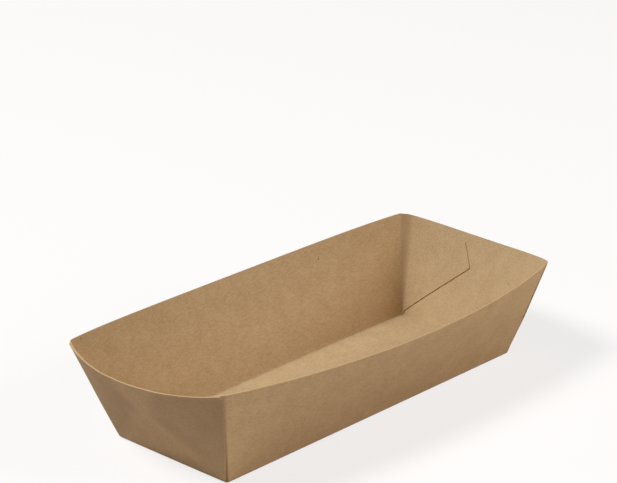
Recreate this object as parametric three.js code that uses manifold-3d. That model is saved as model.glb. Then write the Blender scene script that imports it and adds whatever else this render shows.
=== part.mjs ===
// A one-piece folded paperboard food tray, in millimetres, +Z up, resting on its floor.
// The tray's length runs along X. One blank makes the floor, two side walls, two end panels
// and four glue flaps, which carry on from the side walls round the corners.
import * as THREE from "three";
import { mergeVertices } from "three/addons/utils/BufferGeometryUtils.js";
import Module from "manifold-3d";

// Board
const boardThickness = 0.5;
const foldRadius = 1.1; // outside of every fold
const gluePress = 0.08; // how far a flap is pressed into the end panel that it is glued to

// Floor, outside its creases
const floorLength = 174;
const floorWidth = 60.8;

// Rim, across the corner tips before they were pushed out of square
const rimLength = 200;
const rimWidth = 83.2;
const tipHeight = 43.1;

// How far the middle of a rim stands out past the line between its tips
const endBow = 9.4;
const sideBow = 10.1;
const bowPower = 0.8; // 1 bows as a parabola, less bows fuller
const frontBowLean = 0.12; // how much the front wall's bow leans to the far end

// How far folding and gluing by hand pushed each corner tip out of square: X, Y and Z
const nearFrontPush = [0.2, 1.2, 2.1];
const farFrontPush = [-0.9, 1.1, -1];
const farBackPush = [-0.5, 0.7, -1.1];
const nearBackPush = [-1.4, 1.7, 0];

// Glue flap, on the inside of the end panel
const flapTipLength = 34.5; // from the corner to the lower end of its free edge
const flapTipRise = 29.4; // of that lower end, up the panel
const flapTopLength = 30.5; // from the corner to the upper end of its free edge
const flapTopDrop = 4; // of that upper end, under the rim

// End panel
const panelCornerRadius = 1.6; // of its two upper corners

// Fineness of the mesh
const alongSteps = 24;
const foldSteps = 3;
const cornerSteps = 4;
const wallSteps = 3;

const mix = THREE.MathUtils.lerp;
const reach = foldRadius - boardThickness; // radius inside a fold

// A corner of the tray: its foot on the table and its tip at the rim.
function corner(signX, signY, push) {
  return {
    foot: new THREE.Vector3((signX * floorLength) / 2, (signY * floorWidth) / 2, 0),
    tip: new THREE.Vector3((signX * rimLength) / 2, (signY * rimWidth) / 2, tipHeight)
      .add(new THREE.Vector3(...push)),
  };
}

// A wall between two corners, which run counterclockwise seen from above. It is a panel of even
// height that leans out a little at its corners and more in the middle. Place s runs from -1 at
// the start corner to 1 at the end corner, and place v from 0 at the foot to 1 at the rim.
class Wall {
  constructor(start, end, bow, bowLean = 0) {
    this.corners = [start, end];
    this.along = end.foot.clone().sub(start.foot).normalize();
    this.outward = new THREE.Vector3().crossVectors(this.along, new THREE.Vector3(0, 0, 1));
    this.bow = bow;
    this.bowLean = bowLean;
    this.halfLength = start.foot.distanceTo(end.foot) / 2;
    this.overhangs = this.corners.map((c) => c.tip.clone().sub(c.foot).dot(this.outward));
    this.heights = this.corners.map((c, i) => Math.hypot(this.overhangs[i], c.tip.z));
    this.sideLeans = this.corners.map((c) => Math.atan2(
      Math.abs(c.tip.clone().sub(c.foot).dot(this.along)),
      c.tip.z,
    ));
  }

  height(s) {
    return mix(...this.heights, (s + 1) / 2);
  }

  overhang(s) {
    const arch = Math.max(0, 1 - s * s) ** bowPower;
    return mix(...this.overhangs, (s + 1) / 2) + this.bow * arch * (1 + this.bowLean * s);
  }

  lean(s) {
    return Math.asin(this.overhang(s) / this.height(s));
  }

  halfLengthAt(v) {
    const [start, end] = this.corners.map((c) => c.foot.clone().lerp(c.tip, v).dot(this.along));
    return (end - start) / 2;
  }

  // The point at s and v, depth in from the wall's outer face, where the wall's two ends are
  // sideDepth in from the outer faces of its neighbours.
  point(s, v, depth, sideDepth) {
    const ends = this.corners.map((c, i) => {
      const spot = c.foot.clone().lerp(c.tip, v).dot(this.along);
      const inset = sideDepth / Math.cos(this.sideLeans[i]);
      return i === 0 ? spot + inset : spot - inset;
    });
    const out = this.corners[0].foot.dot(this.outward)
      + v * this.overhang(s) - depth / Math.cos(this.lean(s));
    return new THREE.Vector3(0, 0, v * this.height(s) * Math.cos(this.lean(s)))
      .addScaledVector(this.along, mix(...ends, (s + 1) / 2))
      .addScaledVector(this.outward, out);
  }

  // How far up a face the given depth is squarely across from v on the outer face.
  across(s, v, depth) {
    return v + (depth * Math.tan(this.lean(s))) / this.height(s);
  }
}

// A point of a fold that leaves straight line a-b at a and meets straight line b-c at c.
function foldPoint(a, b, c, t) {
  return new THREE.QuadraticBezierCurve3(a, b, c).getPoint(t);
}

// Both faces of the fold between the floor and a wall at s, t of the way up it. Each face's
// ends draw in towards the floor, so that neighbouring folds clear each other at the corner.
function footNode(wall, s, t, sides) {
  const side = (depth) => mix(foldRadius, depth, t);
  const faces = [[s[0], 0, foldRadius, sides[0]], [s[1], boardThickness, reach, sides[1]]];
  const points = faces.map(([place, depth, radius, sideDepth]) => {
    const floorLevel = depth / (wall.height(place) * Math.cos(wall.lean(place)));
    const crease = wall.point(place, floorLevel, depth, side(sideDepth));
    const onFloor = crease.clone().addScaledVector(wall.outward, -radius);
    const up = floorLevel + radius / wall.height(place);
    return foldPoint(onFloor, crease, wall.point(place, up, depth, side(sideDepth)), t);
  });
  return { outer: points[0], inner: points[1] };
}

// Both faces of a wall at s, t of the way from the top of its foot fold to its top edge. Depth
// is that of the outer face, and top the place v of its upper end.
function wallNode(wall, s, t, sides, depth = 0, top = 1) {
  const [outer, inner] = [depth, depth + boardThickness].map((faceDepth, i) => {
    const insideFold = boardThickness / Math.cos(wall.lean(s[i])) + reach;
    const bottom = (faceDepth === 0 ? foldRadius : insideFold) / wall.height(s[i]);
    return wall.point(s[i], mix(bottom, wall.across(s[i], top, faceDepth), t), faceDepth, sides[i]);
  });
  return { outer, inner };
}

// Places along a wall, closer together near its ends, where the bow turns fastest, with one
// where each corner fold ends.
function places(wall) {
  const spread = Array.from({ length: alongSteps - 1 }, (_, i) =>
    Math.sin(((i + 1) / alongSteps - 0.5) * Math.PI));
  const foldEnd = 1 - foldRadius / wall.halfLength;
  return [-1, -foldEnd, ...spread.filter((s) => Math.abs(s) < foldEnd), foldEnd, 1];
}

const range = (n) => Array.from({ length: n + 1 }, (_, i) => i / n);

// A place between the two corner folds, on a sheet's outer face and on its inner face, whose
// folds end a little nearer to the corners.
function bothFaces(wall, s) {
  return [s, (s * (1 - reach / wall.halfLength)) / (1 - foldRadius / wall.halfLength)];
}

// A side wall from its foot fold to its rim, as rows of nodes that run along it. It stops where
// the corner folds begin, and its corners lie behind the end panels.
function sideWallRows(wall) {
  const columns = places(wall).slice(1, -1).map((s) => bothFaces(wall, s));
  const sides = [boardThickness - gluePress, 2 * boardThickness - gluePress];
  const foot = range(foldSteps).slice(0, -1).map((t) =>
    columns.map((s) => footNode(wall, s, t, sides)));
  const panel = range(wallSteps).map((t) => columns.map((s) => wallNode(wall, s, t, sides)));
  return [...foot, ...panel];
}

// The board that lines an end panel from side wall to side wall, with its two corner folds,
// before it is cut to the two flaps, as columns of nodes.
function liningColumns(before, endWall, after) {
  const depth = boardThickness - gluePress;
  const sides = [0, boardThickness];
  const column = (s) => range(wallSteps).map((t) => wallNode(endWall, s, t, sides, depth));
  const flat = places(endWall).slice(1, -1).map((s) => column(bothFaces(endWall, s)));
  const foldNode = (from, crease, to, t) => ({
    outer: foldPoint(from.outer, crease.outer, to.outer, t),
    inner: foldPoint(from.inner, crease.inner, to.inner, t),
  });
  const fold = (from, s, to) => range(cornerSteps).slice(1, -1).map((t) =>
    column([s, s]).map((crease, j) => foldNode(from[j], crease, to[j], t)));
  return [before, ...fold(before, -1, flat[0]), ...flat, ...fold(flat.at(-1), 1, after), after];
}

// What is cut from a lining to leave its two glue flaps: all that lies between their lower,
// free and top edges, seen along X.
function flapCutter(endWall) {
  const clearance = 5; // past the lining, above and behind
  const rim = Math.max(...endWall.heights);
  const edges = (turn) => [
    [foldRadius, (boardThickness + foldRadius) / 2],
    [foldRadius, foldRadius],
    [flapTipLength, flapTipRise],
    [flapTopLength, rim - flapTopDrop],
    [foldRadius, rim],
    [foldRadius, rim + clearance],
  ].map(([distance, rise]) => {
    const v = rise / rim;
    return endWall.point(turn * (distance / endWall.halfLengthAt(v) - 1), v, boardThickness, 0);
  });
  const outline = [...edges(1), ...edges(-1).reverse()];
  const shape = new THREE.Shape(outline.map((p) => new THREE.Vector2(p.y, p.z)));
  const depth = (rimLength - floorLength) / 2 + endBow + 2 * clearance;
  const cutter = new THREE.ExtrudeGeometry(shape, { depth, bevelEnabled: false });
  cutter.rotateY(Math.PI / 2).rotateX(Math.PI / 2);
  const inset = floorLength / 2 - clearance;
  return cutter.translate(endWall.outward.x > 0 ? inset : -inset - depth, 0, 0);
}

// An end panel with its foot fold and a strip of floor, as rows of nodes that run across it.
function endPanelRows(wall) {
  const lap = 2 * foldRadius; // of the floor strip, over the floor
  const columns = places(wall);
  const sides = [0, 0];
  const upperEdge = (s) => {
    const toSide = (1 - Math.abs(s)) * wall.halfLength;
    const toCentre = Math.max(0, panelCornerRadius - toSide);
    const drop = panelCornerRadius - Math.sqrt(panelCornerRadius ** 2 - toCentre ** 2);
    return 1 - drop / wall.height(s);
  };
  const foot = range(foldSteps).slice(0, -1).map((t) =>
    columns.map((s) => footNode(wall, [s, s], t, sides)));
  const strip = foot[0].map(({ outer, inner }) => ({
    outer: outer.clone().addScaledVector(wall.outward, -lap),
    inner: inner.clone().addScaledVector(wall.outward, -lap),
  }));
  const panel = range(wallSteps).map((t) =>
    columns.map((s) => wallNode(wall, [s, s], t, sides, 0, upperEdge(s))));
  return [strip, ...foot, ...panel];
}

// Rows from columns, and the other way round.
const turned = (grid) => grid[0].map((_, i) => grid.map((line) => line[i]));

// One closed solid of sheets of nodes that share the nodes of their common edges. A free edge
// of a sheet is a cut edge of the board.
function boardSolid(sheets) {
  const positions = [];
  const freeEdges = new Map();
  const triangle = (a, b, c) => positions.push(...a.toArray(), ...b.toArray(), ...c.toArray());
  const name = (a, b) => [a, b].map((n) => n.outer.toArray().map((x) => x.toFixed(4)).join()).join("|");
  for (const rows of sheets) {
    for (let i = 1; i < rows.length; i++) {
      for (let j = 1; j < rows[i].length; j++) {
        const quad = [rows[i - 1][j - 1], rows[i - 1][j], rows[i][j], rows[i][j - 1]];
        const [a, b, c, d] = quad;
        triangle(a.outer, b.outer, c.outer);
        triangle(a.outer, c.outer, d.outer);
        triangle(a.inner, c.inner, b.inner);
        triangle(a.inner, d.inner, c.inner);
        quad.forEach((from, k) => {
          const to = quad[(k + 1) % 4];
          if (!freeEdges.delete(name(to, from))) freeEdges.set(name(from, to), [from, to]);
        });
      }
    }
  }
  for (const [from, to] of freeEdges.values()) {
    triangle(to.outer, from.outer, from.inner);
    triangle(to.outer, from.inner, to.inner);
  }
  const geometry = new THREE.BufferGeometry();
  geometry.setAttribute("position", new THREE.Float32BufferAttribute(positions, 3));
  return geometry;
}

const wasm = await Module();
wasm.setup();

function toManifold(geometry) {
  geometry.deleteAttribute("normal");
  geometry.deleteAttribute("uv");
  const merged = mergeVertices(geometry, 1e-4);
  return new wasm.Manifold(new wasm.Mesh({
    numProp: 3,
    vertProperties: merged.attributes.position.array,
    triVerts: new Uint32Array(merged.index.array),
  }));
}

function toGeometry(solid) {
  const mesh = solid.getMesh();
  const geometry = new THREE.BufferGeometry();
  geometry.setAttribute("position", new THREE.BufferAttribute(mesh.vertProperties, 3));
  geometry.setIndex(new THREE.BufferAttribute(mesh.triVerts, 1));
  return geometry;
}

const nearFront = corner(-1, -1, nearFrontPush);
const farFront = corner(1, -1, farFrontPush);
const farBack = corner(1, 1, farBackPush);
const nearBack = corner(-1, 1, nearBackPush);
const front = new Wall(nearFront, farFront, sideBow, frontBowLean);
const farEnd = new Wall(farFront, farBack, endBow);
const back = new Wall(farBack, nearBack, sideBow);
const nearEnd = new Wall(nearBack, nearFront, endBow);

// The floor, both side walls and the four glue flaps, one sheet that never crosses itself.
function cradle() {
  const frontRows = sideWallRows(front);
  const backRows = sideWallRows(back);
  const upright = (rows, j) => rows.slice(foldSteps).map((row) => row.at(j));
  const linings = [
    liningColumns(upright(frontRows, -1), farEnd, upright(backRows, 0)),
    liningColumns(upright(backRows, -1), nearEnd, upright(frontRows, 0)),
  ];
  const floor = [backRows[0].slice().reverse(), frontRows[0]];
  const sheet = toManifold(boardSolid([floor, frontRows, backRows, ...linings.map(turned)]));
  const cutters = [nearEnd, farEnd].map((endWall) => toManifold(flapCutter(endWall)));
  return cutters.reduce((whole, cutter) => whole.subtract(cutter), sheet);
}

function foldedTray() {
  const endPanels = [nearEnd, farEnd].map((wall) => toManifold(boardSolid([endPanelRows(wall)])));
  const solid = endPanels.reduce((whole, panel) => whole.add(panel), cradle());
  const geometry = toGeometry(solid);
  geometry.computeBoundingBox();
  const middle = geometry.boundingBox.getCenter(new THREE.Vector3());
  geometry.translate(-middle.x, -middle.y, 0);
  const kraftBoard = new THREE.MeshStandardMaterial({ color: 0xb8956a, roughness: 0.85, metalness: 0 });
  const mesh = new THREE.Mesh(geometry, kraftBoard);
  mesh.name = "folded_tray";
  return mesh;
}

const tray = new THREE.Group();
tray.add(foldedTray());

export default tray;
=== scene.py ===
"""A one-piece folded kraft board food tray, in metres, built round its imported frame."""

import math

import bpy
from mathutils import Matrix, Vector


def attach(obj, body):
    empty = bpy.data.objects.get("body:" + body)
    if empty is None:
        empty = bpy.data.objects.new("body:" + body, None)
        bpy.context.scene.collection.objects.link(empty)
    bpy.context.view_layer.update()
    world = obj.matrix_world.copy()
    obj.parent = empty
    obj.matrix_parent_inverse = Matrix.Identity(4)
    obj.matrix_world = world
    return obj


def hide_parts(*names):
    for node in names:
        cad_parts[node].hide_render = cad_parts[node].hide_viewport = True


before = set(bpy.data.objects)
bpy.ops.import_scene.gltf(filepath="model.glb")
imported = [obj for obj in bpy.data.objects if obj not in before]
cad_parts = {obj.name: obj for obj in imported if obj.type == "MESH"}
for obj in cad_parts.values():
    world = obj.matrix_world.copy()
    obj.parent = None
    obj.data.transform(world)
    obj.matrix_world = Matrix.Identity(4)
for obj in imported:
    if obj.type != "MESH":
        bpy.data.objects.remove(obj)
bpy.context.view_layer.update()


# Corners of the tray
# One blank of kraft board is creased round a rectangular floor and folded up. Each corner has a
# foot, where three creases meet, and a tip at the rim. Folding and gluing by hand pushed every
# tip a little out of square. All of the tray's sizes are in millimetres until it becomes a mesh.
FLOOR_LENGTH = 174.0
FLOOR_WIDTH = 60.8
RIM_LENGTH = 200.0
RIM_WIDTH = 83.2
TIP_HEIGHT = 43.1
UP = Vector((0, 0, 1))


def tray_corner(x_side, y_side, push):
    foot = Vector((x_side * FLOOR_LENGTH / 2, y_side * FLOOR_WIDTH / 2, 0))
    tip = Vector((x_side * RIM_LENGTH / 2, y_side * RIM_WIDTH / 2, TIP_HEIGHT))
    return foot, tip + Vector(push)


near_front = tray_corner(-1, -1, (0.2, 1.2, 2.1))
far_front = tray_corner(1, -1, (-0.9, 1.1, -1.0))
far_back = tray_corner(1, 1, (-0.5, 0.7, -1.1))
near_back = tray_corner(-1, 1, (-1.4, 1.7, 0.0))


# Walls
# Each wall is a panel of even height that leans out a little at its corners and more in the
# middle, because its foot crease is straight and its rim was pushed out into a bow. Place s
# runs from -1 to 1 between its corners, counterclockwise seen from above, and v from foot to rim.
BOARD = 0.5
FOLD_RADIUS = 1.1
GLUE_PRESS = 0.18
END_BOW = 9.4
SIDE_BOW = 10.1
BOW_POWER = 0.8
FRONT_BOW_LEAN = 0.12


def mix(a, b, t):
    return a + (b - a) * t


class Wall:
    def __init__(self, start, end, bow, bow_lean=0.0):
        self.corners = (start, end)
        self.along = (end[0] - start[0]).normalized()
        self.outward = self.along.cross(UP)
        self.bow = bow
        self.bow_lean = bow_lean
        self.half_length = (end[0] - start[0]).length / 2
        self.overhangs = [(tip - foot).dot(self.outward) for foot, tip in self.corners]
        tips = [tip for _, tip in self.corners]
        self.heights = [math.hypot(out, tip.z) for out, tip in zip(self.overhangs, tips)]

    def height(self, s):
        return mix(*self.heights, (s + 1) / 2)

    def lean(self, s):
        arch = max(0.0, 1 - s * s) ** BOW_POWER
        overhang = mix(*self.overhangs, (s + 1) / 2) + self.bow * arch * (1 + self.bow_lean * s)
        return math.asin(overhang / self.height(s))

    def half_length_at(self, v):
        start, end = (foot.lerp(tip, v).dot(self.along) for foot, tip in self.corners)
        return (end - start) / 2

    def point(self, s, v, depth=0.0, side_depth=0.0):
        """The point depth in from the outer face, with both ends side_depth in as well."""
        start, end = (foot.lerp(tip, v).dot(self.along) for foot, tip in self.corners)
        lean = self.lean(s)
        out = self.corners[0][0].dot(self.outward)
        out += v * self.height(s) * math.sin(lean) - depth / math.cos(lean)
        place = mix(start + side_depth, end - side_depth, (s + 1) / 2)
        return self.along * place + self.outward * out + UP * v * self.height(s) * math.cos(lean)


front_wall = Wall(near_front, far_front, SIDE_BOW, FRONT_BOW_LEAN)
far_end = Wall(far_front, far_back, END_BOW)
back_wall = Wall(far_back, near_back, SIDE_BOW)
near_end = Wall(near_back, near_front, END_BOW)


# Outer skin of the folded blank
# The skin is one sheet of small quads, shared along every crease and cut where the die cut it.
# Each point also says how free the board is to waver there, whether a glue flap presses on it
# from behind, which also sets a painted shade, and how much painted shade it takes along the
# folds.
skin_points = []
skin_facts = []
skin_faces = []
welded = {}


# The crease fact is how much painted shade the point takes along a fold.
def skin_point(place, waver=0.0, imprint=0.0, crease=0.0):
    key = tuple(round(c, 3) for c in place)
    if key not in welded:
        welded[key] = len(skin_points)
        skin_points.append(place)
        skin_facts.append((waver, imprint, crease))
    return welded[key]


def add_sheet(rows):
    for lower, upper in zip(rows, rows[1:]):
        for a, b, c, d in zip(lower, lower[1:], upper[1:], upper):
            if len({a, b, c, d}) > 2:
                skin_faces.append(tuple(dict.fromkeys((a, b, c, d))))


def fold_place(a, crease, b, t):
    """A point of the rounded fold from a to b."""
    return a.lerp(crease, t).lerp(crease.lerp(b, t), t)


def spread(count, clustered):
    """Places from -1 to 1, clustered towards both ends by the given share."""
    even = [2 * i / count - 1 for i in range(count + 1)]
    return [mix(s, math.sin(s * math.pi / 2), clustered) for s in even]


def upward(count):
    return [i / count for i in range(count + 1)]


FOLD_STEPS = 6
WALL_STEPS = 26
SIDE_STEPS = 96
END_STEPS = 64
side_places = spread(SIDE_STEPS, clustered=0.6)
end_places = spread(END_STEPS, clustered=0.75)


# Floor
# The middle of the blank stays flat, and its underside rests on the table. It ends where the
# foot folds begin.
floor_half_length = FLOOR_LENGTH / 2 - FOLD_RADIUS
floor_half_width = FLOOR_WIDTH / 2 - FOLD_RADIUS
add_sheet([
    [skin_point(Vector((floor_half_length * x, floor_half_width * y, 0))) for x in side_places]
    for y in reversed(end_places)
])


# Side walls
# The two long walls rise from the floor at a rounded foot fold. At each end they stop where
# the corner folds begin, just behind the end panels.
# Painted shade along the foot folds, darkest halfway round each fold.
FOOT_FOLD_SHADE = 0.3


def wall_waver(s, v):
    """Free in the middle of a panel, held at its folds."""
    return min(1.0, 4 * v) * min(1.0, 8 * (1 - abs(s)))


def foot_fold_rows(wall, columns, side_depth, floor_half):
    """Rows from the floor to where the wall's flat begins. Each column is its place s on the
    wall and its place on the edge of the floor, from -1 to 1."""
    rows = []
    for t in upward(FOLD_STEPS)[:-1]:
        row = []
        for s, on_floor in columns:
            top = wall.point(s, FOLD_RADIUS / wall.height(s), 0, side_depth)
            out = wall.corners[0][0].dot(wall.outward)
            start = wall.along * on_floor * floor_half + wall.outward * (out - FOLD_RADIUS)
            crease = wall.along * top.dot(wall.along) + wall.outward * out
            # Painted fold shade, darkest in the middle of the fold.
            fold_shade_amount = FOOT_FOLD_SHADE * math.sin(math.pi * t)
            row.append(skin_point(fold_place(start, crease, top, t), crease=fold_shade_amount))
        rows.append(row)
    return rows


def side_wall_rows(wall):
    fold_end = 1 - FOLD_RADIUS / wall.half_length
    columns = [(s * fold_end, s) for s in side_places]
    behind = BOARD - GLUE_PRESS
    rows = foot_fold_rows(wall, columns, behind, floor_half_length)
    for t in upward(WALL_STEPS):
        row = []
        for s, _ in columns:
            v = mix(FOLD_RADIUS / wall.height(s), 1, t)
            row.append(skin_point(wall.point(s, v, 0, behind), waver=wall_waver(s, v)))
        rows.append(row)
    return rows


front_rows = side_wall_rows(front_wall)
back_rows = side_wall_rows(back_wall)
add_sheet(front_rows)
add_sheet(back_rows)


# Glue flaps
# Each side wall carries on round its corners as two flaps, glued to the inside of the end
# panels. Three of the corner folds are crisp, with painted shade darkest at the foot and fading
# up to the rim. The one at the far back corner was never pressed flat and bends more softly
# towards the rim, and its painted shade stays full all the way up.
CRISP_BENDS = (FOLD_RADIUS, FOLD_RADIUS)
SOFT_BENDS = (2.0, 5.0)
FLAP_TIP = (34.5, 29.4)
FLAP_TOP = (30.5, 4.0)
FLAP_STEPS = 20
FOLD_SHADE_AT_RIM = 0.2


def flap_outline(end_wall, turn, bends=CRISP_BENDS):
    """The flap's four corners, each as its distance from the corner's fold and its place v."""
    height = end_wall.height(-turn)
    foot = (bends[0], (BOARD + bends[0]) / height)
    tip = (FLAP_TIP[0], FLAP_TIP[1] / height)
    top = (FLAP_TOP[0], 1 - FLAP_TOP[1] / height)
    return foot, tip, top, (bends[1], 1.0)


def flap_place(end_wall, turn, distance, v):
    s = turn * (distance / end_wall.half_length_at(v) - 1)
    return s, end_wall.point(s, v, BOARD - GLUE_PRESS)


def corner_gusset(first_row, foot_rows, column):
    """The corner fold below the flap, which shrinks to a point at the corner of the floor."""
    start = skin_points[first_row[0]]
    rows = []
    for t, foot_row in zip(upward(FOLD_STEPS), foot_rows):
        side = foot_row[column]
        row = [side]
        for i in first_row[1:]:
            place = skin_points[side] + (skin_points[i] - start) * t
            # Full painted fold shade over the whole gusset.
            row.append(skin_point(place, crease=1.0))
        rows.append(row)
    return [*rows, first_row]


def add_flap(end_wall, turn, side_rows, column, bends):
    """The corner fold and the flap at the start of the end panel, turn 1, or at its end, -1."""
    foot, tip, top, upper = flap_outline(end_wall, turn, bends)
    rows = []
    for t, side_row in zip(upward(WALL_STEPS), side_rows[FOLD_STEPS:]):
        near = (mix(foot[0], upper[0], t), mix(foot[1], upper[1], t))
        free = (mix(tip[0], top[0], t), mix(tip[1], top[1], t))
        from_side = skin_points[side_row[column]]
        corner_v = mix(FOLD_RADIUS / end_wall.heights[0], 1, t)
        _, corner_place = flap_place(end_wall, turn, 0, corner_v)
        _, to_flap = flap_place(end_wall, turn, *near)
        row = [side_row[column]]
        # Painted fold shade: full along the soft fold, fading towards the rim along the crisp
        # ones.
        fold_shade_amount = 1.0 if bends is SOFT_BENDS else mix(1.0, FOLD_SHADE_AT_RIM, t)
        for f in upward(FOLD_STEPS)[1:-1]:
            place = fold_place(from_side, corner_place, to_flap, f)
            row.append(skin_point(place, crease=fold_shade_amount * math.sin(math.pi * f)))
        for f in upward(FLAP_STEPS):
            distance, v = mix(near[0], free[0], f), mix(near[1], free[1], f)
            s, place = flap_place(end_wall, turn, distance, v)
            row.append(skin_point(place, waver=wall_waver(s, v)))
        rows.append(row)
    gusset = corner_gusset(rows[0][:FOLD_STEPS + 1], side_rows[:FOLD_STEPS], column)
    for sheet in (gusset, rows):
        add_sheet(sheet if turn == 1 else [row[::-1] for row in sheet])


add_flap(far_end, 1, front_rows, -1, CRISP_BENDS)
add_flap(far_end, -1, back_rows, 0, SOFT_BENDS)
add_flap(near_end, 1, back_rows, -1, CRISP_BENDS)
add_flap(near_end, -1, front_rows, 0, CRISP_BENDS)


# End panels
# The two short walls fold up last and close over the flaps. Their side edges are cut flush
# with the side walls but draw back near the feet, where the seam gapes, and their two upper
# corners are rounded. The flaps glued behind them show through as a faint step.
PANEL_CORNER_RADIUS = 1.6
SEAM_GAP = 0.9
SEAM_GAP_TOP = 0.4
IMPRINT_BLUR = 4.5


def rounded_top(wall, s):
    to_side = (1 - abs(s)) * wall.half_length
    to_centre = max(0.0, PANEL_CORNER_RADIUS - to_side)
    drop = PANEL_CORNER_RADIUS - math.sqrt(PANEL_CORNER_RADIUS**2 - to_centre**2)
    return 1 - drop / wall.height(s)


def flap_imprint(wall, s, v):
    """1 where a glue flap lies behind the panel, 0 where none does, and a blurred edge."""
    turn = 1 if s < 0 else -1
    height = wall.height(s)
    foot, tip, top, _ = (
        Vector((distance, v_place * height)) for distance, v_place in flap_outline(wall, turn)
    )
    spot = Vector(((1 - abs(s)) * wall.half_length_at(v), v * height))
    inside = min((b - a).normalized().cross(spot - a) for a, b in ((foot, tip), (tip, top)))
    return min(1.0, max(0.0, 0.5 + inside / IMPRINT_BLUR))


def add_end_panel(wall):
    rows = foot_fold_rows(wall, [(s, s) for s in end_places], SEAM_GAP, floor_half_width)
    for t in upward(WALL_STEPS):
        row = []
        for s in end_places:
            v = mix(FOLD_RADIUS / wall.height(s), rounded_top(wall, s), t)
            gap = SEAM_GAP * max(0.0, 1 - t / SEAM_GAP_TOP)
            place = wall.point(s, v, 0, gap)
            row.append(skin_point(place, wall_waver(s, v), flap_imprint(wall, s, v)))
        rows.append(row)
    add_sheet(rows)


add_end_panel(far_end)
add_end_panel(near_end)


# Board stock
# Solid kraft board, 0.5 mm thick. Pressing and handling leave it very slightly wavy. This
# Geometry Nodes tree wavers the skin, presses the flaps' imprints into it and gives it the
# board's thickness with square cut edges, which it marks for the material.
def add(tree, kind, links=None, **settings):
    """Adds a node with its settings, and links or sets its inputs by their place or name."""
    node = tree.nodes.new(kind)
    for name, value in settings.items():
        setattr(node, name, value)
    for socket, value in (links or {}).items():
        target = node.inputs[socket]
        if isinstance(value, bpy.types.NodeSocket):
            tree.links.new(value, target)
        else:
            target.default_value = value
    return node


SHARP_ANGLE = math.radians(40)
board_tree = bpy.data.node_groups.new("board_stock", "GeometryNodeTree")
BOARD_INPUTS = [
    ("Skin", "NodeSocketGeometry", None),
    ("Thickness", "NodeSocketFloat", BOARD * 0.001),
    ("Wave height", "NodeSocketFloat", 0.0005),
    ("Wave length", "NodeSocketFloat", 0.045),
    ("Wave seed", "NodeSocketFloat", 3.0),
    ("Imprint height", "NodeSocketFloat", 0.00025),
    ("Board", "NodeSocketMaterial", None),
]
board_sockets = {}
for name, kind, _ in BOARD_INPUTS:
    board_sockets[name] = board_tree.interface.new_socket(name, in_out="INPUT", socket_type=kind)
board_tree.interface.new_socket("Board", in_out="OUTPUT", socket_type="NodeSocketGeometry")

given = add(board_tree, "NodeGroupInput").outputs
facts = {}
for name in ("waver", "imprint"):
    fact = add(board_tree, "GeometryNodeInputNamedAttribute", {"Name": name}, data_type="FLOAT")
    facts[name] = fact.outputs[0]
wave_scale = add(board_tree, "ShaderNodeMath", {0: 1.0, 1: given["Wave length"]},
                 operation="DIVIDE")
wave = add(board_tree, "ShaderNodeTexNoise", {
    "Vector": add(board_tree, "GeometryNodeInputPosition").outputs[0],
    "W": given["Wave seed"],
    "Scale": wave_scale.outputs[0],
    "Detail": 1.0,
}, noise_dimensions="4D")
centred_wave = add(board_tree, "ShaderNodeMath", {0: wave.outputs[0], 1: 0.5},
                   operation="SUBTRACT")
free_wave = add(board_tree, "ShaderNodeMath", {0: centred_wave.outputs[0], 1: facts["waver"]},
                operation="MULTIPLY")
imprint = add(board_tree, "ShaderNodeMath", {0: facts["imprint"], 1: given["Imprint height"]},
              operation="MULTIPLY")
out = add(board_tree, "ShaderNodeMath", {
    0: free_wave.outputs[0],
    1: given["Wave height"],
    2: imprint.outputs[0],
}, operation="MULTIPLY_ADD")
outward = add(board_tree, "ShaderNodeVectorMath", {
    "Vector": add(board_tree, "GeometryNodeInputNormal").outputs[0],
    "Scale": out.outputs[0],
}, operation="SCALE")
outer = add(board_tree, "GeometryNodeSetPosition", {
    "Geometry": given["Skin"],
    "Offset": outward.outputs[0],
})
inward = add(board_tree, "ShaderNodeMath", {0: given["Thickness"], 1: -1.0},
             operation="MULTIPLY")
thickened = add(board_tree, "GeometryNodeExtrudeMesh", {
    "Mesh": outer.outputs[0],
    "Offset Scale": inward.outputs[0],
    "Individual": False,
}, mode="FACES")
marked = add(board_tree, "GeometryNodeStoreNamedAttribute", {
    "Geometry": thickened.outputs["Mesh"],
    "Selection": thickened.outputs["Side"],
    "Name": "cut_edge",
    "Value": 1.0,
}, data_type="FLOAT", domain="FACE")
clear_inside = add(board_tree, "GeometryNodeStoreNamedAttribute", {
    "Geometry": marked.outputs[0],
    "Name": "imprint",
    "Value": 0.0,
}, data_type="FLOAT", domain="POINT")
inner = add(board_tree, "GeometryNodeFlipFaces", {"Mesh": clear_inside.outputs[0]})
both = add(board_tree, "GeometryNodeJoinGeometry", {"Geometry": outer.outputs[0]})
board_tree.links.new(inner.outputs[0], both.inputs[0])
closed = add(board_tree, "GeometryNodeMergeByDistance", {
    "Geometry": both.outputs[0],
    "Distance": 1e-6,
})
smooth = add(board_tree, "GeometryNodeSetShadeSmooth", {
    "Geometry": closed.outputs[0],
    "Shade Smooth": True,
}, domain="FACE")
edge_angle = add(board_tree, "GeometryNodeInputMeshEdgeAngle")
sharp = add(board_tree, "FunctionNodeCompare", {
    "A": edge_angle.outputs[0],
    "B": SHARP_ANGLE,
}, data_type="FLOAT", operation="GREATER_THAN")
square = add(board_tree, "GeometryNodeSetShadeSmooth", {
    "Geometry": smooth.outputs[0],
    "Selection": sharp.outputs[0],
    "Shade Smooth": False,
}, domain="EDGE")
real = add(board_tree, "GeometryNodeRealizeInstances", {"Geometry": square.outputs[0]})
dressed = add(board_tree, "GeometryNodeSetMaterial", {
    "Geometry": real.outputs[0],
    "Material": given["Board"],
})
add(board_tree, "NodeGroupOutput", {0: dressed.outputs[0]})


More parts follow.
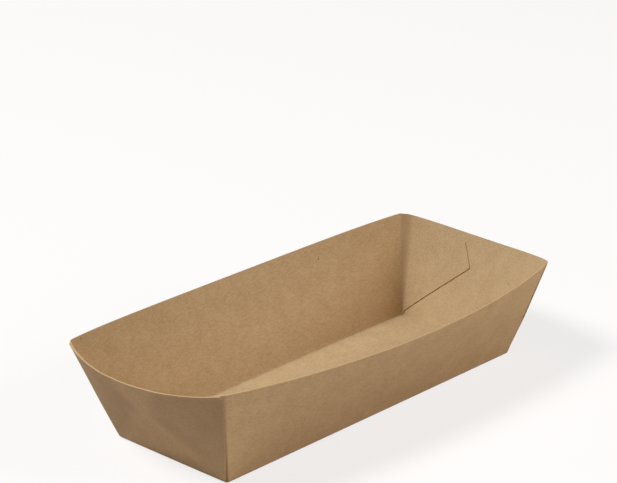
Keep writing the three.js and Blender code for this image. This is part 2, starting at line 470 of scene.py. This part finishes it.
# Kraft board
# Unbleached brown kraft, uncoated and calendered: matt, with a cloudy formation, fine fibres
# and a few dark bark specks. Its cut edges show paler, broken fibre. Painted shade darkens its
# folds and the end panels' outer face where a flap lies behind.
def linear(hex_colour):
    """An sRGB hex colour as linear RGBA."""
    parts = [int(hex_colour[i:i + 2], 16) / 255 for i in (0, 2, 4)]
    return (*(c / 12.92 if c <= 0.04045 else ((c + 0.055) / 1.055) ** 2.4 for c in parts), 1.0)


kraft = bpy.data.materials.new("unbleached_kraft_board")
kraft.use_nodes = True
paper = kraft.node_tree
paper.nodes.clear()
place = add(paper, "ShaderNodeTexCoord").outputs["Object"]

# Formation: pulp clouds about 8 mm across and tufts of fibre about 0.7 mm across, which is
# coarser than the real 0.3 mm so that it shows. Scales here are in repeats to the metre.
CLOUD_SCALE = 125.0
TUFT_SCALE = 1400.0
clouds = add(paper, "ShaderNodeTexNoise", {
    "Vector": place,
    "Scale": CLOUD_SCALE,
    "Detail": 3.0,
    "Roughness": 0.5,
})
tufts = add(paper, "ShaderNodeTexNoise", {
    "Vector": place,
    "Scale": TUFT_SCALE,
    "Detail": 5.0,
    "Roughness": 0.75,
})

# Single fibres 2 to 3 mm long and about 0.4 mm wide, coarser than the real ones so that they
# show, lie in two main directions.
STRAND_SCALE = (380.0, 2600.0, 2600.0)
strands = []
for turn_of_strands in (0.5, -0.9):
    lie = add(paper, "ShaderNodeMapping", {
        "Vector": place,
        "Rotation": (turn_of_strands, turn_of_strands, turn_of_strands),
        "Scale": STRAND_SCALE,
    })
    strand = add(paper, "ShaderNodeTexNoise", {
        "Vector": lie.outputs[0],
        "Scale": 1.0,
        "Detail": 2.0,
    })
    strands.append(strand.outputs[0])

# The board's colour runs from dark to light with the sum of all three.
CLOUD_SHARE = 0.14
TUFT_SHARE = 0.5
STRAND_SHARE = 0.18
both_strands = add(paper, "ShaderNodeMath", {0: strands[0], 1: strands[1]}, operation="ADD")
clouds_in_grain = add(paper, "ShaderNodeMath", {0: clouds.outputs[0], 1: CLOUD_SHARE},
                      operation="MULTIPLY")
tufts_in_grain = add(paper, "ShaderNodeMath", {
    0: tufts.outputs[0],
    1: TUFT_SHARE,
    2: clouds_in_grain.outputs[0],
}, operation="MULTIPLY_ADD")
grain = add(paper, "ShaderNodeMath", {
    0: both_strands.outputs[0],
    1: STRAND_SHARE,
    2: tufts_in_grain.outputs[0],
}, operation="MULTIPLY_ADD")
face_colour = add(paper, "ShaderNodeValToRGB", {0: grain.outputs[0]})
darkest, lightest = face_colour.color_ramp.elements
darkest.position = 0.41
darkest.color = linear("b5956d")
lightest.position = 0.59
lightest.color = linear("ccae86")

# Bark specks up to 0.9 mm across. Most of the cells, each 7 mm wide, hold none.
SPECK_SCALE = 140.0
WITHOUT_SPECK = 0.7
SPECK_RADIUS = 0.06
specks = add(paper, "ShaderNodeTexVoronoi", {
    "Vector": place,
    "Scale": SPECK_SCALE,
    "Randomness": 1.0,
})
chance = add(paper, "ShaderNodeSeparateColor", {"Color": specks.outputs["Color"]})
speck_reach = add(paper, "ShaderNodeMapRange", {
    "Value": chance.outputs[0],
    "From Min": WITHOUT_SPECK,
    "From Max": 1.0,
    "To Min": 0.0,
    "To Max": SPECK_RADIUS,
})
in_speck = add(paper, "ShaderNodeMath", {0: specks.outputs["Distance"], 1: speck_reach.outputs[0]},
               operation="LESS_THAN")
with_specks = add(paper, "ShaderNodeMix", {
    0: in_speck.outputs[0],
    6: face_colour.outputs[0],
    7: linear("8a6844"),
}, data_type="RGBA")

# Painted shade: the board is drawn darker along its folds, where it turns away from the light.
FOLD_SHADE = 0.5
fold = add(paper, "ShaderNodeAttribute", attribute_name="crease")
fold_shade_share = add(paper, "ShaderNodeMath", {0: fold.outputs["Fac"], 1: FOLD_SHADE},
                 operation="MULTIPLY")
with_fold_shade = add(paper, "ShaderNodeMix", {
    0: fold_shade_share.outputs[0],
    6: with_specks.outputs[2],
    7: linear("8c6b46"),
}, data_type="RGBA")

# Painted shade: where a flap lies behind a panel, its outer face is drawn a little darker, as the
# double board lets through less of the light that shines through the single board.
FLAP_SHADE = 0.3
flap_behind = add(paper, "ShaderNodeAttribute", attribute_name="imprint")
flap_shade_share = add(paper, "ShaderNodeMath", {0: flap_behind.outputs["Fac"], 1: FLAP_SHADE},
                  operation="MULTIPLY")
with_flap_shade = add(paper, "ShaderNodeMix", {
    0: flap_shade_share.outputs[0],
    6: with_fold_shade.outputs[2],
    7: linear("91775b"),
}, data_type="RGBA")

# The cut edges show the paler fibre inside the board.
edge = add(paper, "ShaderNodeAttribute", attribute_name="cut_edge")
with_edges = add(paper, "ShaderNodeMix", {
    0: edge.outputs["Fac"],
    6: with_flap_shade.outputs[2],
    7: linear("c6a67c"),
}, data_type="RGBA")

# The fibres stand up a tenth of a millimetre at most, and where they do the board is duller.
fibres = add(paper, "ShaderNodeTexNoise", {
    "Vector": place,
    "Scale": TUFT_SCALE,
    "Detail": 5.0,
    "Roughness": 0.7,
})
bump = add(paper, "ShaderNodeBump", {
    "Strength": 0.35,
    "Distance": 0.00012,
    "Height": fibres.outputs[0],
})
sheen = add(paper, "ShaderNodeMapRange", {
    "Value": tufts.outputs[0],
    "To Min": 0.78,
    "To Max": 0.94,
})
surface = add(paper, "ShaderNodeBsdfPrincipled", {
    "Base Color": with_edges.outputs[2],
    "Roughness": sheen.outputs[0],
    "IOR": 1.5,
    "Specular IOR Level": 0.25,
    "Normal": bump.outputs[0],
})
add(paper, "ShaderNodeOutputMaterial", {"Surface": surface.outputs[0]})


# The tray
# The finished blank, folded and glued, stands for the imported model's one solid.
TRAY_SHIFT = Vector((0.65, -1.163, 0))
tray_mesh = bpy.data.meshes.new("folded_kraft_tray")
tray_mesh.from_pydata([(p + TRAY_SHIFT) * 0.001 for p in skin_points], [], skin_faces)
# The point facts: crease is the painted fold shade, and imprint also sets the painted flap shade.
for place_in_facts, name in enumerate(("waver", "imprint", "crease")):
    attribute = tray_mesh.attributes.new(name, "FLOAT", "POINT")
    attribute.data.foreach_set("value", [f[place_in_facts] for f in skin_facts])
tray = bpy.data.objects.new("folded_kraft_tray", tray_mesh)
bpy.context.scene.collection.objects.link(tray)
stock = tray.modifiers.new("board_stock", "NODES")
stock.node_group = board_tree
for name, kind, value in BOARD_INPUTS:
    if value is not None:
        stock[board_sockets[name].identifier] = value
stock[board_sockets["Board"].identifier] = kraft
seen = bpy.context.evaluated_depsgraph_get()
pressed_mesh = bpy.data.meshes.new_from_object(tray.evaluated_get(seen))
tray.modifiers.clear()
tray.data = pressed_mesh
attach(tray, "root")
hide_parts("folded_tray")


# Table and white surroundings
# A pale matt table under the tray, far wider than the view and a hair below the tray's
# underside. The camera sees it mixed with plain white, so that little but the tray's soft
# shadow shows on it.
TABLE_TOP = -0.00005
TABLE_REACH = 4.0
PLAIN_WHITE_SHARE = 0.6
table_paint = bpy.data.materials.new("matt_white_table")
table_paint.use_nodes = True
table_tree = table_paint.node_tree
table_tree.nodes.clear()
seen_ray = add(table_tree, "ShaderNodeLightPath")
matt = add(table_tree, "ShaderNodeBsdfDiffuse", {"Color": linear("d2c8c3")})
plain_white = add(table_tree, "ShaderNodeEmission", {"Color": (1, 1, 1, 1), "Strength": 1.24})
white_share = add(table_tree, "ShaderNodeMath", {
    0: seen_ray.outputs["Is Camera Ray"],
    1: PLAIN_WHITE_SHARE,
}, operation="MULTIPLY")
table_mix = add(table_tree, "ShaderNodeMixShader", {
    0: white_share.outputs[0],
    1: matt.outputs[0],
    2: plain_white.outputs[0],
})
add(table_tree, "ShaderNodeOutputMaterial", {"Surface": table_mix.outputs[0]})

table_mesh = bpy.data.meshes.new("table_top")
table_corners = [
    (x * TABLE_REACH, y * TABLE_REACH, TABLE_TOP) for x, y in ((-1, -1), (1, -1), (1, 1), (-1, 1))
]
table_mesh.from_pydata(table_corners, [], [(0, 1, 2, 3)])
table_mesh.materials.append(table_paint)
table = bpy.data.objects.new("table_top", table_mesh)
bpy.context.scene.collection.objects.link(table)

surroundings = bpy.data.worlds.new("white_surroundings")
bpy.context.scene.world = surroundings
surroundings.use_nodes = True
sky = surroundings.node_tree
sky.nodes.clear()
sky_ray = add(sky, "ShaderNodeLightPath")
seen_or_glossy = add(sky, "ShaderNodeMath", {
    0: sky_ray.outputs["Is Camera Ray"],
    1: sky_ray.outputs["Is Glossy Ray"],
}, operation="MAXIMUM")
seen_any = add(sky, "ShaderNodeMath", {
    0: seen_or_glossy.outputs[0],
    1: sky_ray.outputs["Is Transmission Ray"],
}, operation="MAXIMUM")
room_light = add(sky, "ShaderNodeBackground", {"Color": (1, 1, 1, 1), "Strength": 0.08})
white_sky = add(sky, "ShaderNodeBackground", {"Color": (1, 1, 1, 1), "Strength": 1.0})
sky_mix = add(sky, "ShaderNodeMixShader", {
    0: seen_any.outputs[0],
    1: room_light.outputs[0],
    2: white_sky.outputs[0],
})
add(sky, "ShaderNodeOutputWorld", {"Surface": sky_mix.outputs[0]})


# Studio light
# A large soft box high behind the tray's near end lights the floor and the far end most, and a
# second one at the front fills the long walls. The room adds a little light from all round.
def soft_box(name, place, size, power, colour):
    light = bpy.data.lights.new(name, "AREA")
    light.shape = "SQUARE"
    light.size = size
    light.energy = power
    light.color = linear(colour)[:3]
    lamp = bpy.data.objects.new(name, light)
    bpy.context.scene.collection.objects.link(lamp)
    lamp.location = place
    lamp.rotation_euler = Vector(place).to_track_quat("Z", "Y").to_euler()


soft_box("high_soft_box", (-1.02, 0.80, 1.78), 0.75, 45.0, "f6fcff")
soft_box("front_soft_box", (0.95, -1.50, 0.92), 0.9, 21.3, "fff9f2")


# Camera
# Its place, turn and lens are those at which the tray's creases and rims fall where the
# photograph has them.
camera_data = bpy.data.cameras.new("photo_camera")
camera_data.sensor_width = 36.0
camera_data.lens = 165.19
camera_data.clip_end = 20.0
camera = bpy.data.objects.new("photo_camera", camera_data)
bpy.context.scene.collection.objects.link(camera)
camera_right = (0.67914, -0.733954, 0.009031)
camera_up = (0.266849, 0.258345, 0.928466)
camera_back = (-0.683784, -0.628148, 0.371307)
camera.matrix_world = Matrix((
    (camera_right[0], camera_up[0], camera_back[0], -0.79530),
    (camera_right[1], camera_up[1], camera_back[1], -0.72476),
    (camera_right[2], camera_up[2], camera_back[2], 0.49859),
    (0, 0, 0, 1),
))
bpy.context.scene.camera = camera
bpy.context.scene.view_settings.view_transform = "Standard"
